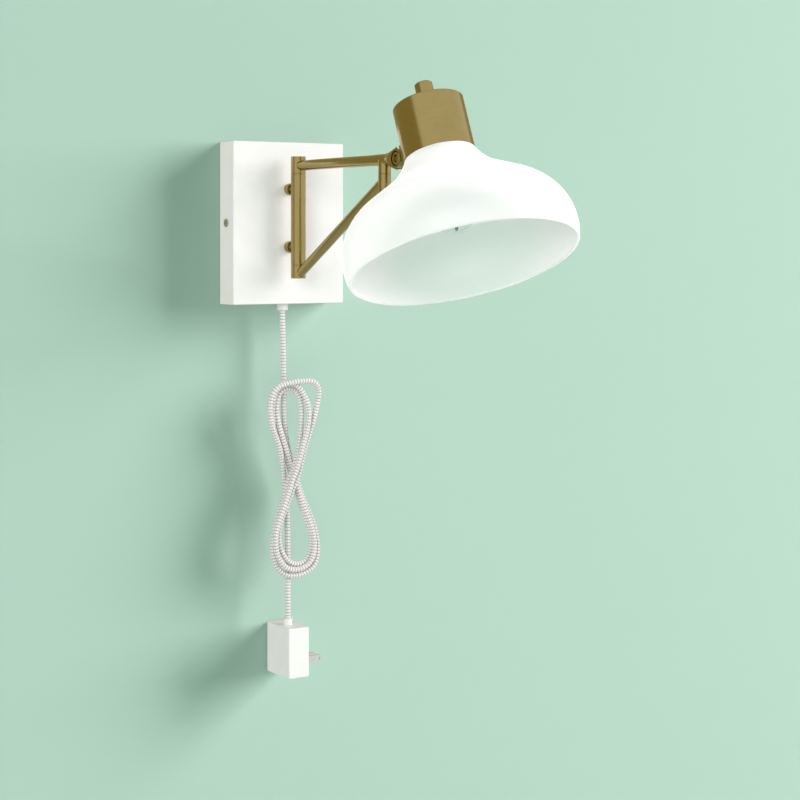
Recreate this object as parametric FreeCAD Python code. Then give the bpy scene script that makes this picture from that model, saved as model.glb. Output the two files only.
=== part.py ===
import FreeCAD, Part
import math
import os

os.makedirs("parts", exist_ok=True)
V = FreeCAD.Vector

# Swing arm wall sconce with a plug-in cord, in millimetres.
# Frame: +X right along the wall, +Y into the wall, +Z up.
# Origin: centre of the wall cover's open back, on the wall plane.
# The lamp head is modelled in its own frame (origin at the centre of the cup's open end,
# +Z up along the head's axis, +Y towards the wall) and is then tilted about the knuckle's screw.

# ---------------------------------------------------------------- clearances
fit_gap = 0.05          # threads, spigots and seats that are assembled once
running_gap = 0.05      # a shaft that turns in its bore
clear_gap = 0.4         # pieces that pass each other without touching
knuckle_gap = 1.0       # between the yoke's round eye and the lug's face

# ---------------------------------------------------------------- wall cover and bracket
cover_width = 128.0
cover_height = 165.0
cover_depth = 29.4
cover_wall = 1.5
cover_edge_radius = 1.2

bracket_thickness = 2.0
bracket_height = 40.0
bracket_tab_depth = 21.0
slot_spacing = 79.4
slot_length = 14.3
slot_width = 4.8

side_screw_radius = 2.0
side_screw_length = 9.0
side_screw_head_radius = 4.1
side_screw_head_height = 1.3
side_screw_hex = 2.5

ground_screw_x = 17.0
ground_screw_radius = 2.0
ground_screw_head_hex = 8.0
ground_screw_head_height = 3.0

# ---------------------------------------------------------------- stand-offs and mast
standoff_reach = 11.35
standoff_spacing = 58.8
standoff_centre_z = 5.0
standoff_disc_radius = 6.0
standoff_disc_length = 4.8
standoff_neck_radius = 3.6
standoff_stud_radius = 3.0
standoff_stud_length = 9.0
standoff_bore_radius = 2.0
washer_radius = 7.0
washer_thickness = 1.0
nut_hex = 10.0
nut_height = 4.0

mast_radius = 7.55
mast_length = 92.2
mast_centre_z = 3.5
rod_radius = 5.0
rod_bore_radius = 3.2
rod_engagement_top = 4.2
rod_engagement_bottom = 8.0
seam_washer_thickness = 0.4
seam_chamfer = 0.3

# ---------------------------------------------------------------- swing arm
upper_collar_height = 17.2
arm_rise = 8.0
lower_collar_height = 13.2
brace_root_drop = 10.4
collar_cap = 3.0
arm_reach = 165.8
arm_radius = 5.2
arm_wall = 1.2
brace_radius = 4.8
brace_wall = 1.1
spigot_length = 8.0

tee_barrel_radius = 5.5
tee_back = 14.6
tee_front = 7.2
tee_drop = 13.4
tee_bore_radius = 2.6
post_radius = 6.0
brace_post_length = 18.6
brace_head_drop = 6.0
post_stud_radius = 2.5
post_stud_length = 18.0

# ---------------------------------------------------------------- knuckle
knuckle_reach = 31.9
yoke_neck_radius = 6.3
yoke_neck_length = 2.3
yoke_cone_end = 4.0
yoke_radius = 11.4
yoke_eye_radius = 9.1
yoke_width = 16.6
yoke_recess_radius = 7.2
yoke_recess_depth = 3.0
yoke_spigot_radius = 4.0
yoke_bore_radius = 2.1

tongue_thickness = 6.0
tongue_radius = 9.0
tongue_half_height = 7.0
tongue_bore_rise = 5.6
tongue_bore_radius = 1.95
friction_washer_radius = 8.6
friction_washer_thickness = 0.5

tilt_screw_radius = 2.5
tilt_screw_head_radius = 6.2
tilt_screw_head_height = 2.8
tilt_screw_hex = 7.5
tilt_screw_hex_depth = 2.0
tilt_nut_hex = 9.0
tilt_nut_height = 3.2

# ---------------------------------------------------------------- lamp head
head_tilt = 22.5
cup_radius = 32.7
cup_height = 51.6
cup_wall = 1.2
cup_top = 1.5
cup_edge_radius = 1.0
pivot_to_cup = 24.9
pivot_height = 23.8
lug_boss_radius = 11.4
lug_screw_spacing = 10.0
lug_screw_radius = 1.95
lug_screw_bite = 6.0
lug_screw_head_radius = 3.4
lug_screw_head_height = 2.0

# bell shaped shade: a hollow flare, a straight flank and a round shoulder, all tangent
shade_wall = 3.0
shade_neck_radius = 32.4
shade_neck_angle = 25.6
shade_flare_radius = 64.7
shade_flank_angle = 57.5
shade_flank_length = 30.4
shade_shoulder_radius = 53.7
shade_rim_angle = -16.6
shade_hole_radius = 21.0

holder_radius = 19.0
holder_top = 33.0
holder_shoulder_radius = 25.0
holder_shoulder_height = 2.0
holder_skirt_radius = 20.4
holder_skirt_depth = 9.0
holder_roof = 5.0
holder_skirt_wall = 2.4
shell_radius = 14.1
shell_thickness = 0.5
shell_length = 28.0
contact_radius = 3.5
contact_height = 4.1
shade_ring_radius = 26.5
shade_ring_height = 4.0

bulb_radius = 30.0
bulb_reach = 72.4
bulb_neck_radius = 12.6
bulb_glass_wall = 0.8
bulb_cap_radius = 13.1
bulb_cap_length = 26.5
bulb_tip_radius = 5.0
bulb_stem_radius = 4.0
bulb_stem_length = 22.0
filament_radius = 0.8
filament_spread = 8.0
filament_count = 4

switch_radius = 13.0
switch_wall = 2.0
bushing_radius = 4.2
bushing_length = 4.4
bushing_nut_hex = 10.5
bushing_nut_height = 2.5
shaft_radius = 2.8
shaft_depth = 9.0
knob_radius = 8.3
knob_height = 20.4
knob_wall = 1.35
knob_chamfer = 0.9
knob_lift = 0.4
knob_shaft_grip = 12.0

# ---------------------------------------------------------------- wiring inside the lamp
wire_radius = 0.9
wire_pitch = 1.9
wire_sweep = 12.0
wire_play = 0.2
connector_x = 16.0
connector_rise = 30.5
connector_length = 18.0
connector_radius = 5.5
connector_tip_radius = 3.6
connector_bore_radius = 2.6
connector_bore_depth = 12.0

# ---------------------------------------------------------------- cord and plug
cord_radius = 2.85
gland_radius = 5.7
gland_length = 7.0
gland_thread_radius = 4.9
gland_bore_radius = 2.3
gland_nut_hex = 14.0
gland_nut_height = 3.0

hank_back_y = -15.0
hank_thickness = 18.0

plug_width = 23.2
plug_depth = 47.0
plug_height = 50.7
plug_edge_radius = 1.0
plug_centre_x = 1.7
plug_top_z = -410.9
relief_radius = 4.7
relief_height = 6.4
relief_tip_radius = 4.3
blade_length = 18.2
blade_height = 6.35
blade_thickness = 1.55
blade_spacing = 12.7
blade_root = 5.0
blade_hole_radius = 1.6
blade_front_y = -40.4
blade_drop = 34.1

# ---------------------------------------------------------------- derived positions
AXIS_X = V(1, 0, 0)
AXIS_Y = V(0, 1, 0)
AXIS_Z = V(0, 0, 1)

mast_y = -(cover_depth + standoff_reach + mast_radius)
mast_bottom_z = mast_centre_z - mast_length / 2
mast_top_z = mast_centre_z + mast_length / 2
standoff_heights = [standoff_centre_z + standoff_spacing / 2, standoff_centre_z - standoff_spacing / 2]

upper_collar_z = mast_top_z + seam_washer_thickness
arm_z = upper_collar_z + arm_rise
lower_collar_z = mast_bottom_z - seam_washer_thickness
brace_root_z = lower_collar_z - brace_root_drop
post_y = mast_y - arm_reach
seam_z = arm_z - tee_drop
brace_head_z = seam_z - brace_head_drop
pivot_y = post_y - knuckle_reach
tee_end_y = post_y - tee_front

slot_half = tongue_thickness / 2 + running_gap + friction_washer_thickness
slot_bottom_y = pivot_y + tongue_radius + 2 * clear_gap
pivot_reach = cup_radius + pivot_to_cup
lug_boss_length = pivot_to_cup - yoke_eye_radius - knuckle_gap
tongue_root_y = cup_radius + lug_boss_length

cord_y = -cover_depth / 2
gland_face_z = -cover_height / 2 - gland_length
connector_base_z = -cover_height / 2 + connector_rise
plug_centre_y = -plug_depth / 2

head_frame = FreeCAD.Placement(V(0, pivot_y, arm_z), FreeCAD.Rotation(AXIS_X, -head_tilt))
head_frame = head_frame.multiply(FreeCAD.Placement(V(0, -pivot_reach, -pivot_height), FreeCAD.Rotation()))


# ---------------------------------------------------------------- shape helpers
def cylinder(radius, start, direction, length):
    return Part.makeCylinder(radius, length, start, direction)


def tube(outer, inner, start, direction, length):
    return cylinder(outer, start, direction, length).cut(cylinder(inner, start, direction, length))


def block(low, high):
    return Part.makeBox(high.x - low.x, high.y - low.y, high.z - low.z, low)


def hexagon(across_flats, start, direction, length):
    corner = across_flats / math.sqrt(3)
    points = []
    for i in range(7):
        angle = math.radians(60 * i)
        points.append(V(corner * math.cos(angle), corner * math.sin(angle), 0))
    prism = Part.Face(Part.makePolygon(points)).extrude(V(0, 0, length))
    prism.Placement = FreeCAD.Placement(start, FreeCAD.Rotation(AXIS_Z, direction))
    return prism


def revolved(edges):
    """A solid turned about Z from edges in the XZ plane, where X is the radius."""
    face = Part.Face(Part.Wire(edges))
    return face.revolve(V(0, 0, 0), AXIS_Z, 360)


def polygon_edges(points):
    edges = []
    for a, b in zip(points, points[1:]):
        edges.append(Part.LineSegment(a, b).toShape())
    return edges


def rounded(shape, edges, radius):
    return shape.makeFillet(radius, edges)


def edges_along(shape, direction):
    found = []
    for edge in shape.Edges:
        if len(edge.Vertexes) == 2 and edge.Curve.TypeId == "Part::GeomLine":
            if abs(edge.tangentAt(edge.FirstParameter).dot(direction)) > 0.999:
                found.append(edge)
    return found


def circles_at(shape, radius, height):
    """Circular edges of one radius at one height on the Z axis."""
    found = []
    for edge in shape.Edges:
        if edge.Curve.TypeId == "Part::GeomCircle":
            same_size = abs(edge.Curve.Radius - radius) < 1e-6
            if same_size and abs(edge.Curve.Center.z - height) < 1e-6:
                found.append(edge)
    return found


def route(points):
    """Straight runs joined by tangent arcs as large as the two runs at each point allow."""
    edges = []
    radii = []
    last = points[0]
    for before, here, after in zip(points, points[1:], points[2:]):
        into = (here - before)
        out = (after - here)
        turn = into.getAngle(out)
        reach = 0.45 * min(into.Length, out.Length)
        radii.append(reach / math.tan(turn / 2))
        start = here - into.normalize() * reach
        end = here + out.normalize() * reach
        bisector = (out - into).normalize()
        sagitta = radii[-1] * (1 / math.cos(turn / 2) - 1)
        edges.append(Part.LineSegment(last, start).toShape())
        edges.append(Part.Arc(start, here + bisector * sagitta, end).toShape())
        last = end
    edges.append(Part.LineSegment(last, points[-1]).toShape())
    return Part.Wire(edges), radii


def route_tube(points, radius, name=""):
    """A round cord along a route. Prints its bend radii and how its volume compares."""
    wire, radii = route(points)
    direction = points[1] - points[0]
    section = Part.Wire(Part.Circle(points[0], direction, radius).toShape())
    solid = wire.makePipeShell([section], True, False)
    if name:
        expected = math.pi * radius ** 2 * wire.Length
        listed = ", ".join("%.0f" % r for r in radii)
        print("%s: length %.1f, radii %s, volume ratio %.4f" % (name, wire.Length, listed, solid.Volume / expected))
    return solid


def wire_pair(points, sideways):
    """Two insulated conductors side by side along one route."""
    pair = []
    for side in (-1, 1):
        shift = sideways * (side * wire_pitch / 2)
        pair.append(route_tube([point + shift for point in points], wire_radius))
    return Part.makeCompound(pair)


def in_head(shape):
    return shape.transformed(head_frame.toMatrix(), True)


def save(name, shape):
    shape.exportStep("parts/%s.step" % name)
    solids = shape.Solids
    print("%-22s solids %d valid %s volume %.0f" % (name, len(solids), shape.isValid(), shape.Volume))


# ---------------------------------------------------------------- wall cover and bracket
def make_cover():
    half_w = cover_width / 2
    half_h = cover_height / 2
    shell = block(V(-half_w, -cover_depth, -half_h), V(half_w, 0, half_h))
    shell = rounded(shell, edges_along(shell, AXIS_Y), cover_edge_radius)
    front = [edge for edge in shell.Edges if edge.BoundBox.YMax < -cover_depth + 0.01]
    shell = rounded(shell, front, cover_edge_radius * 0.9)
    inside = block(
        V(-half_w + cover_wall, -cover_depth + cover_wall, -half_h + cover_wall),
        V(half_w - cover_wall, cover_wall, half_h - cover_wall),
    )
    shell = shell.cut(inside)
    for z in standoff_heights:
        shell = shell.cut(cylinder(standoff_stud_radius + fit_gap, V(0, -cover_depth - 1, z), AXIS_Y, 4 * cover_wall))
    side_hole = cylinder(side_screw_radius + fit_gap, V(-cover_width, cord_y, 0), AXIS_X, 2 * cover_width)
    shell = shell.cut(side_hole)
    gland_hole = cylinder(gland_thread_radius + fit_gap, V(0, cord_y, -half_h - 1), AXIS_Z, 4 * cover_wall)
    return shell.cut(gland_hole)


def make_bracket():
    half_w = cover_width / 2 - cover_wall - clear_gap
    half_h = bracket_height / 2
    bar = block(V(-half_w, -bracket_thickness, -half_h), V(half_w, 0, half_h))
    for side in (-1, 1):
        outer = side * half_w
        inner = side * (half_w - bracket_thickness)
        tab = block(V(min(outer, inner), -bracket_tab_depth, -half_h), V(max(outer, inner), 0, half_h))
        bar = bar.fuse(tab)
        centre = side * slot_spacing / 2
        straight = slot_length - slot_width
        slot = block(
            V(centre - straight / 2, -bracket_thickness - 1, -slot_width / 2),
            V(centre + straight / 2, 1, slot_width / 2),
        )
        for end in (-1, 1):
            start = V(centre + end * straight / 2, -bracket_thickness - 1, 0)
            slot = slot.fuse(cylinder(slot_width / 2, start, AXIS_Y, bracket_thickness + 2))
        bar = bar.cut(slot)
    bar = bar.cut(cylinder(side_screw_radius + fit_gap, V(-cover_width, cord_y, 0), AXIS_X, 2 * cover_width))
    ground = cylinder(ground_screw_radius + fit_gap, V(ground_screw_x, -2 * bracket_thickness, 0), AXIS_Y, 30)
    return bar.cut(ground).removeSplitter()


def make_side_screws():
    screws = []
    for side in (-1, 1):
        face_x = side * cover_width / 2
        outward = AXIS_X * side
        shank = cylinder(side_screw_radius, V(face_x, cord_y, 0), outward * -1, side_screw_length)
        head = cylinder(side_screw_head_radius, V(face_x, cord_y, 0), outward, side_screw_head_height)
        recess_start = V(face_x + side * side_screw_head_height * 0.3, cord_y, 0)
        recess = hexagon(side_screw_hex, recess_start, outward, side_screw_head_height)
        screws.append(shank.fuse(head).cut(recess))
    return Part.makeCompound(screws)


def make_ground_screw():
    shank = cylinder(ground_screw_radius, V(ground_screw_x, 0, 0), AXIS_Y * -1, bracket_thickness)
    head = hexagon(ground_screw_head_hex, V(ground_screw_x, -bracket_thickness, 0), AXIS_Y * -1, ground_screw_head_height)
    return shank.fuse(head)


# ---------------------------------------------------------------- stand-offs and mast
def make_standoff(z):
    face_y = -cover_depth
    disc = cylinder(standoff_disc_radius, V(0, face_y, z), AXIS_Y * -1, standoff_disc_length)
    outer_rim = [edge for edge in disc.Edges if abs(edge.BoundBox.YMax - (face_y - standoff_disc_length)) < 0.01]
    disc = rounded(disc, outer_rim, standoff_disc_length * 0.35)
    neck = cylinder(standoff_neck_radius, V(0, face_y, z), AXIS_Y * -1, standoff_reach + mast_radius)
    saddle = cylinder(mast_radius + fit_gap, V(0, mast_y, z - cover_height), AXIS_Z, 2 * cover_height)
    neck = neck.cut(saddle)
    stud = cylinder(standoff_stud_radius, V(0, face_y, z), AXIS_Y, standoff_stud_length)
    spigot_reach = standoff_reach + mast_radius - rod_radius - fit_gap
    spigot = cylinder(standoff_stud_radius, V(0, face_y, z), AXIS_Y * -1, spigot_reach)
    body = disc.fuse([neck, stud, spigot])
    rod = cylinder(rod_radius + fit_gap, V(0, mast_y, z - cover_height), AXIS_Z, 2 * cover_height)
    bore = cylinder(standoff_bore_radius, V(0, mast_y, z), AXIS_Y, cover_depth + standoff_reach + mast_radius)
    return body.cut([rod, bore]).removeSplitter()


def make_standoff_washers():
    inner_y = -cover_depth + cover_wall
    rings = []
    for z in standoff_heights:
        rings.append(tube(washer_radius, standoff_stud_radius + fit_gap, V(0, inner_y, z), AXIS_Y, washer_thickness))
    return Part.makeCompound(rings)


def make_standoff_nuts():
    inner_y = -cover_depth + cover_wall + washer_thickness
    nuts = []
    for z in standoff_heights:
        nut = hexagon(nut_hex, V(0, inner_y, z), AXIS_Y, nut_height)
        nuts.append(nut.cut(cylinder(standoff_stud_radius + fit_gap, V(0, inner_y - 1, z), AXIS_Y, nut_height + 2)))
    return Part.makeCompound(nuts)


def make_mast():
    body = tube(mast_radius, rod_radius + fit_gap, V(0, mast_y, mast_bottom_z), AXIS_Z, mast_length)
    for z in (mast_bottom_z, mast_top_z):
        body = body.makeChamfer(seam_chamfer, circles_at(body, mast_radius, z))
    for z in standoff_heights:
        body = body.cut(cylinder(standoff_stud_radius + fit_gap, V(0, mast_y, z), AXIS_Y, 2 * mast_radius))
    return body


def make_mast_rod():
    bottom = mast_bottom_z - seam_washer_thickness - rod_engagement_bottom
    length = mast_length + 2 * seam_washer_thickness + rod_engagement_bottom + rod_engagement_top
    body = tube(rod_radius, rod_bore_radius, V(0, mast_y, bottom), AXIS_Z, length)
    wire_hole = cylinder(standoff_bore_radius, V(0, mast_y, standoff_heights[0]), AXIS_Y, 2 * rod_radius)
    return body.cut(wire_hole)


def make_seam_washers():
    rings = []
    outer = mast_radius - seam_chamfer
    for z in (mast_bottom_z - seam_washer_thickness, mast_top_z):
        rings.append(tube(outer, rod_radius + fit_gap, V(0, mast_y, z), AXIS_Z, seam_washer_thickness))
    return Part.makeCompound(rings)


# ---------------------------------------------------------------- swing arm
def brace_line():
    root = V(0, mast_y, brace_root_z)
    head = V(0, post_y, brace_head_z)
    return root, head


def brace_cylinder(radius):
    root, head = brace_line()
    return cylinder(radius, root, head - root, (head - root).Length)


def collar_saddle():
    """The round of the collars, which cuts the saddle on the end of each tube."""
    return cylinder(mast_radius + fit_gap, V(0, mast_y, -cover_height), AXIS_Z, 2 * cover_height)


def make_upper_collar():
    body = cylinder(mast_radius, V(0, mast_y, upper_collar_z), AXIS_Z, upper_collar_height)
    body = body.makeChamfer(seam_chamfer, circles_at(body, mast_radius, upper_collar_z))
    cavity_height = upper_collar_height - collar_cap
    cavity = cylinder(rod_radius + running_gap, V(0, mast_y, upper_collar_z), AXIS_Z, cavity_height)
    wire_hole = cylinder(tee_bore_radius, V(0, mast_y, arm_z), AXIS_Y * -1, 2 * mast_radius)
    return body.cut([cavity, wire_hole])


def make_lower_collar():
    bottom = lower_collar_z - lower_collar_height
    body = cylinder(mast_radius, V(0, mast_y, bottom), AXIS_Z, lower_collar_height)
    body = body.makeChamfer(seam_chamfer, circles_at(body, mast_radius, lower_collar_z))
    depth = rod_engagement_bottom + clear_gap
    cavity = cylinder(rod_radius + running_gap, V(0, mast_y, lower_collar_z - depth), AXIS_Z, depth)
    return body.cut(cavity)


def make_arm_tube():
    length = arm_reach - tee_back
    body = tube(arm_radius, arm_radius - arm_wall, V(0, mast_y, arm_z), AXIS_Y * -1, length)
    return body.cut(collar_saddle())


def make_outer_tee():
    back_y = post_y + tee_back
    barrel = cylinder(tee_barrel_radius, V(0, back_y, arm_z), AXIS_Y * -1, tee_back + tee_front)
    spigot_radius = arm_radius - arm_wall - fit_gap
    spigot = cylinder(spigot_radius, V(0, back_y + spigot_length, arm_z), AXIS_Y * -1, spigot_length)
    post = cylinder(post_radius, V(0, post_y, seam_z), AXIS_Z, tee_drop)
    post = post.makeChamfer(seam_chamfer, circles_at(post, post_radius, seam_z))
    body = barrel.fuse([spigot, post])
    bore = cylinder(tee_bore_radius, V(0, back_y + 2 * spigot_length, arm_z), AXIS_Y * -1, 4 * tee_back)
    socket = cylinder(yoke_spigot_radius + fit_gap, V(0, tee_end_y + spigot_length, arm_z), AXIS_Y * -1, spigot_length)
    stud_hole = cylinder(post_stud_radius + fit_gap, V(0, post_y, seam_z), AXIS_Z, post_stud_length / 2)
    return body.cut([bore, socket, stud_hole]).removeSplitter()


def make_brace_tube():
    body = brace_cylinder(brace_radius).cut(brace_cylinder(brace_radius - brace_wall))
    post = cylinder(post_radius + fit_gap, V(0, post_y, -cover_height), AXIS_Z, 2 * cover_height)
    return body.cut([collar_saddle(), post])


def make_brace_post():
    bottom = seam_z - brace_post_length
    body = cylinder(post_radius, V(0, post_y, bottom), AXIS_Z, brace_post_length)
    body = body.makeChamfer(seam_chamfer, circles_at(body, post_radius, seam_z))
    root, head = brace_line()
    back = (root - head).normalize()
    spigot = cylinder(brace_radius - brace_wall - fit_gap, head, back, post_radius + spigot_length)
    body = body.fuse(spigot)
    depth = post_stud_length / 2
    stud_hole = cylinder(post_stud_radius + fit_gap, V(0, post_y, seam_z - depth), AXIS_Z, depth)
    return body.cut(stud_hole).removeSplitter()


def make_post_stud():
    return cylinder(post_stud_radius, V(0, post_y, seam_z - post_stud_length / 2), AXIS_Z, post_stud_length)


# ---------------------------------------------------------------- knuckle
def make_yoke():
    cone_y = pivot_y + yoke_cone_end
    neck_y = tee_end_y - yoke_neck_length
    profile = [
        V(0, tee_end_y, 0),
        V(yoke_neck_radius, tee_end_y, 0),
        V(yoke_neck_radius, neck_y, 0),
        V(yoke_radius, cone_y, 0),
        V(0, cone_y, 0),
        V(0, tee_end_y, 0),
    ]
    body = Part.Face(Part.makePolygon(profile)).revolve(V(0, 0, 0), AXIS_Y, 360)
    body.translate(V(0, 0, arm_z))
    half = yoke_width / 2
    tall = 2 * yoke_radius
    flats = block(V(-half, cone_y, arm_z - tall), V(half, 0, arm_z + tall))
    eye = cylinder(yoke_eye_radius, V(-half, pivot_y, arm_z), AXIS_X, yoke_width)
    body = body.common(flats).fuse(eye)
    spigot = cylinder(yoke_spigot_radius, V(0, tee_end_y + spigot_length, arm_z), AXIS_Y * -1, 2 * spigot_length)
    body = body.fuse(spigot)
    slot = block(V(-slot_half, pivot_y - 2 * yoke_eye_radius, arm_z - tall), V(slot_half, slot_bottom_y, arm_z + tall))
    bore = cylinder(yoke_bore_radius, V(0, tee_end_y + 2 * spigot_length, arm_z), AXIS_Y * -1, knuckle_reach)
    pin_hole = cylinder(tilt_screw_radius + fit_gap, V(-2 * half, pivot_y, arm_z), AXIS_X, 4 * half)
    recess = cylinder(yoke_recess_radius, V(-half, pivot_y, arm_z), AXIS_X, yoke_recess_depth)
    return body.cut([slot, bore, pin_hole, recess]).removeSplitter()


def make_tilt_screw():
    seat_x = -yoke_width / 2 + yoke_recess_depth
    head = cylinder(tilt_screw_head_radius, V(seat_x, pivot_y, arm_z), AXIS_X * -1, tilt_screw_head_height)
    face_x = seat_x - tilt_screw_head_height
    rim = [edge for edge in head.Edges if abs(edge.BoundBox.XMin - face_x) < 0.01 and edge.BoundBox.XLength < 0.01]
    head = rounded(head, rim, tilt_screw_head_height * 0.3)
    length = yoke_width / 2 + tilt_nut_height - seat_x
    shank = cylinder(tilt_screw_radius, V(seat_x, pivot_y, arm_z), AXIS_X, length)
    recess = hexagon(tilt_screw_hex, V(face_x, pivot_y, arm_z), AXIS_X, tilt_screw_hex_depth)
    return head.fuse(shank).cut(recess)


def make_tilt_nut():
    nut = hexagon(tilt_nut_hex, V(yoke_width / 2, pivot_y, arm_z), AXIS_X, tilt_nut_height)
    return nut.cut(cylinder(tilt_screw_radius + fit_gap, V(0, pivot_y, arm_z), AXIS_X, 2 * yoke_width))


def make_friction_washers():
    rings = []
    for side in (-1, 1):
        start = V(side * slot_half, pivot_y, arm_z)
        inward = AXIS_X * -side
        inner = tilt_screw_radius + fit_gap
        rings.append(tube(friction_washer_radius, inner, start, inward, friction_washer_thickness))
    return Part.makeCompound(rings)


def make_tilt_lug():
    half = tongue_thickness / 2
    pivot = V(-half, pivot_reach, pivot_height)
    eye = cylinder(tongue_radius, pivot, AXIS_X, tongue_thickness)
    low = V(-half, cup_radius, pivot_height - tongue_half_height)
    high = V(half, pivot_reach, pivot_height + tongue_half_height)
    web = block(low, high)
    boss = cylinder(lug_boss_radius, V(0, tongue_root_y, pivot_height), AXIS_Y * -1, 2 * lug_boss_length)
    flat = yoke_width / 2
    tall = pivot_height + 2 * lug_boss_radius
    boss = boss.common(block(V(-flat, 0, -tall), V(flat, pivot_reach, tall)))
    body = eye.fuse([web, boss])
    cup = cylinder(cup_radius + fit_gap, V(0, 0, -cup_height), AXIS_Z, 3 * cup_height)
    pin_hole = cylinder(tilt_screw_radius + running_gap, pivot, AXIS_X, tongue_thickness)
    bore_z = pivot_height + tongue_bore_rise
    bore = cylinder(tongue_bore_radius, V(0, 0, bore_z), AXIS_Y, 2 * pivot_reach)
    body = body.cut([cup, pin_hole, bore])
    for side in (-1, 1):
        start = V(side * lug_screw_spacing / 2, 0, pivot_height)
        body = body.cut(cylinder(lug_screw_radius + fit_gap, start, AXIS_Y, cup_radius + lug_screw_bite))
    return body.removeSplitter()


def make_lug_screws():
    screws = []
    inner = cup_radius - cup_wall
    outermost = lug_screw_spacing / 2 + lug_screw_head_radius
    seat_y = math.sqrt(inner ** 2 - outermost ** 2)
    for side in (-1, 1):
        start = V(side * lug_screw_spacing / 2, seat_y, pivot_height)
        shank = cylinder(lug_screw_radius, start, AXIS_Y, cup_radius + lug_screw_bite - clear_gap - seat_y)
        head = cylinder(lug_screw_head_radius, start, AXIS_Y * -1, lug_screw_head_height)
        screws.append(shank.fuse(head))
    return Part.makeCompound(screws)


# ---------------------------------------------------------------- lamp head
def make_cup():
    body = cylinder(cup_radius, V(0, 0, 0), AXIS_Z, cup_height)
    body = rounded(body, circles_at(body, cup_radius, cup_height), cup_edge_radius)
    hollow = cylinder(cup_radius - cup_wall, V(0, 0, -1), AXIS_Z, cup_height - cup_top + 1)
    bushing_hole = cylinder(bushing_radius + fit_gap, V(0, 0, 0), AXIS_Z, 2 * cup_height)
    wire_hole = cylinder(tongue_bore_radius, V(0, 0, pivot_height + tongue_bore_rise), AXIS_Y, 2 * cup_radius)
    body = body.cut([hollow, bushing_hole, wire_hole])
    for side in (-1, 1):
        start = V(side * lug_screw_spacing / 2, 0, pivot_height)
        body = body.cut(cylinder(lug_screw_radius + fit_gap, start, AXIS_Y, 2 * cup_radius))
    return body


def shade_profile():
    """Closed outline of the glass in the XZ plane, with X as the radius and the top at Z = 0."""
    neck = math.radians(shade_neck_angle)
    flank = math.radians(shade_flank_angle)
    rim = math.radians(shade_rim_angle)
    flare_centre = (shade_neck_radius + shade_flare_radius * math.cos(neck), shade_flare_radius * math.sin(neck))

    def on_flare(angle, inset):
        reach = shade_flare_radius + inset
        return V(flare_centre[0] - reach * math.cos(angle), 0, flare_centre[1] - reach * math.sin(angle))

    run = V(math.sin(flank), 0, -math.cos(flank)) * shade_flank_length
    side = V(-math.cos(flank), 0, -math.sin(flank))
    shoulder_centre = on_flare(flank, 0) + run + side * shade_shoulder_radius

    def on_shoulder(angle, inset):
        reach = shade_shoulder_radius - inset
        return shoulder_centre + V(math.cos(angle), 0, math.sin(angle)) * reach

    def arc(point, first, last, inset):
        middle = (first + last) / 2
        return Part.Arc(point(first, inset), point(middle, inset), point(last, inset)).toShape()

    def line(a, b):
        return Part.LineSegment(a, b).toShape()

    inner_start = math.asin((shade_wall + shade_flare_radius * math.sin(neck)) / (shade_flare_radius + shade_wall))
    top_outer = on_flare(neck, 0)
    inner_top = on_flare(inner_start, shade_wall)
    rim_out = on_shoulder(rim, 0)
    rim_in = on_shoulder(rim, shade_wall)
    beyond = V(math.sin(rim), 0, -math.cos(rim)) * (shade_wall / 2)
    rim_tip = (rim_out + rim_in) * 0.5 + beyond
    return [
        line(V(shade_hole_radius, 0, 0), top_outer),
        arc(on_flare, neck, flank, 0),
        line(on_flare(flank, 0), on_shoulder(flank, 0)),
        arc(on_shoulder, flank, rim, 0),
        Part.Arc(rim_out, rim_tip, rim_in).toShape(),
        arc(on_shoulder, rim, flank, shade_wall),
        line(on_shoulder(flank, shade_wall), on_flare(flank, shade_wall)),
        arc(on_flare, flank, inner_start, shade_wall),
        line(inner_top, V(shade_hole_radius, 0, -shade_wall)),
        line(V(shade_hole_radius, 0, -shade_wall), V(shade_hole_radius, 0, 0)),
    ]


def make_shade():
    return revolved(shade_profile())


def make_lampholder():
    body = cylinder(holder_radius, V(0, 0, 0), AXIS_Z, holder_top)
    shoulder = cylinder(holder_shoulder_radius, V(0, 0, 0), AXIS_Z, holder_shoulder_height)
    skirt = cylinder(holder_skirt_radius, V(0, 0, -holder_skirt_depth), AXIS_Z, holder_skirt_depth)
    mouth_radius = holder_skirt_radius - holder_skirt_wall
    mouth = cylinder(mouth_radius, V(0, 0, -holder_skirt_depth), AXIS_Z, holder_skirt_depth)
    bore = cylinder(shell_radius + fit_gap, V(0, 0, 0), AXIS_Z, holder_top - holder_roof)
    return body.fuse([shoulder, skirt]).cut([mouth, bore]).removeSplitter()


def make_screw_shell():
    top = holder_top - holder_roof
    return tube(shell_radius, shell_radius - shell_thickness, V(0, 0, top - shell_length), AXIS_Z, shell_length)


def make_centre_contact():
    return cylinder(contact_radius, V(0, 0, holder_top - holder_roof), AXIS_Z * -1, contact_height)


def make_shade_ring():
    start = V(0, 0, -shade_wall)
    return tube(shade_ring_radius, holder_skirt_radius + fit_gap, start, AXIS_Z * -1, shade_ring_height)


bulb_cap_top = holder_top - holder_roof - contact_height
bulb_cap_bottom = bulb_cap_top - bulb_cap_length


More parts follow.
